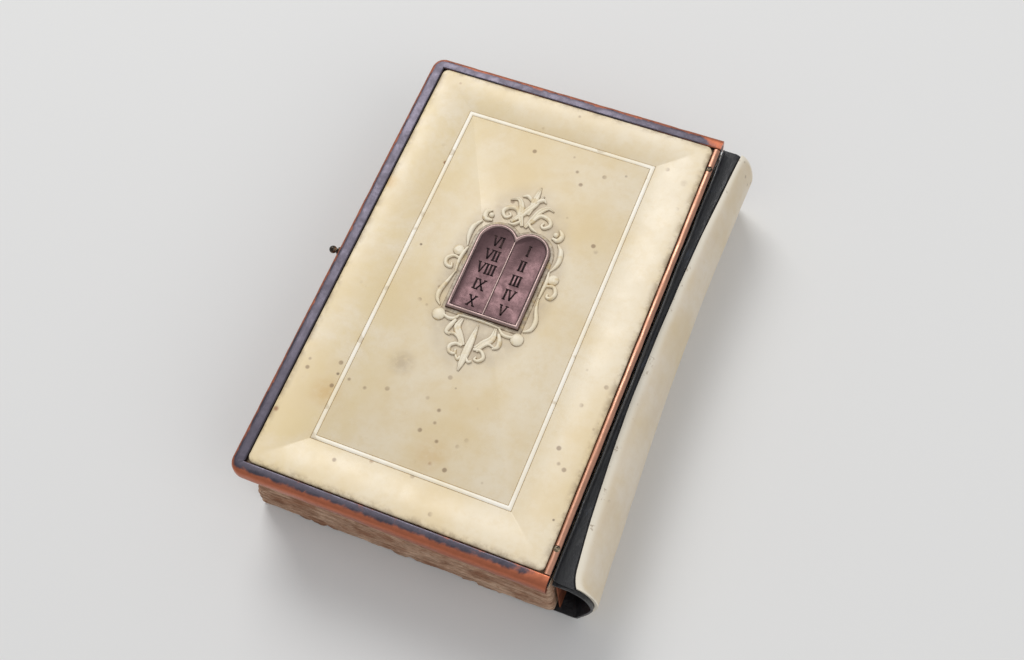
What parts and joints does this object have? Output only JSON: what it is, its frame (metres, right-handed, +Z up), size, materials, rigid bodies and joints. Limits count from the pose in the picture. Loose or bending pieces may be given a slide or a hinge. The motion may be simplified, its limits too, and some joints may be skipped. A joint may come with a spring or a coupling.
{
  "type": "prayer book",
  "caption": "Small hardback prayer book lying flat, front board uppermost, with a metal-rimmed cover panel, a tablets plaque, a loose curved spine shell and a torn underside.",
  "frame": {"origin": "on the table, in the plane of the torn underside, below the middle of the cover panel", "axes": "+X to the spine, +Y to the head of the book, +Z up out of the front cover"},
  "size_m": [0.0944, 0.1254, 0.0313],
  "materials": {
    "pasteboard": "raw grey-brown pasteboard",
    "cover_panel": "aged cream celluloid, soft polish, fine stains",
    "inlay": "whiter inlaid line, soft polish",
    "cartouche": "cream moulded relief, dirty in the hollows",
    "dark_bronze": "dark bronze patina, rubbed bright on the high edges",
    "rim_metal": "copper with a dark patina, rubbed bright on the outside",
    "strip_metal": "rubbed copper",
    "pin_metal": "aged yellow metal",
    "black_leather": "black, crinkled and worn, glossy in places",
    "endpaper": "aged plain endpaper",
    "leaf_paper": "browned edges, ragged towards the bottom",
    "tape_cloth": "unbleached woven tape and cloth",
    "thread": "linen thread",
    "lining_paper": "red-brown lining paper",
    "spine_shell": "greyer cream celluloid, soft polish"
  },
  "bodies": {
    "book_block": {"gathering_01": "leaf_paper", "gathering_02": "leaf_paper", "gathering_03": "leaf_paper", "gathering_04": "leaf_paper", "gathering_05": "leaf_paper", "gathering_06": "leaf_paper", "gathering_07": "leaf_paper", "gathering_08": "leaf_paper", "last_gathering": "leaf_paper", "sewing_tapes": "tape_cloth", "sewing_threads": "thread", "spine_mull": "tape_cloth", "spine_lining": "lining_paper", "spine_leather": "black_leather", "spine_shell": "spine_shell"},
    "front_board": {"front_board_core": "pasteboard", "front_panel": "cover_panel", "front_inlay_line": "inlay", "front_cartouche": "cartouche", "tablets_plaque": "dark_bronze", "tablets_pins": "dark_bronze", "front_rim": "rim_metal", "front_spine_strip": "strip_metal", "strip_pins": "pin_metal", "clasp_stud": "pin_metal", "front_turn_in": "black_leather", "front_pastedown": "endpaper"},
    "flyleaf": {"front_flyleaf": "endpaper"},
    "upper_leaves_1": {"turning_leaves_1": "leaf_paper"},
    "upper_leaves_2": {"turning_leaves_2": "leaf_paper"},
    "upper_leaves_3": {"turning_leaves_3": "leaf_paper"}
  },
  "joints": [
    {"name": "front_board_hinge", "type": "hinge", "parent": "book_block", "child": "front_board", "pos_m": [0.0399, 0, 0.028], "axis": [0, 1, 0], "range_deg": [0, 175]},
    {"name": "flyleaf_turn", "type": "hinge", "parent": "book_block", "child": "flyleaf", "pos_m": [0.0393, 0, 0.02495], "axis": [0, 1, 0], "range_deg": [0, 97]},
    {"name": "leaves_1_turn", "type": "hinge", "parent": "book_block", "child": "upper_leaves_1", "pos_m": [0.0393, 0, 0.0246], "axis": [0, 1, 0], "range_deg": [0, 48]},
    {"name": "leaves_2_turn", "type": "hinge", "parent": "book_block", "child": "upper_leaves_2", "pos_m": [0.0393, 0, 0.0225], "axis": [0, 1, 0], "range_deg": [0, 23]},
    {"name": "leaves_3_turn", "type": "hinge", "parent": "book_block", "child": "upper_leaves_3", "pos_m": [0.0393, 0, 0.0204], "axis": [0, 1, 0], "range_deg": [0, 11]}
  ],
  "couplings": [
    {"joint": "flyleaf_turn", "follows": "front_board_hinge", "ratio": 0.55},
    {"joint": "leaves_1_turn", "follows": "front_board_hinge", "ratio": 0.27},
    {"joint": "leaves_2_turn", "follows": "front_board_hinge", "ratio": 0.13},
    {"joint": "leaves_3_turn", "follows": "front_board_hinge", "ratio": 0.06}
  ]
}
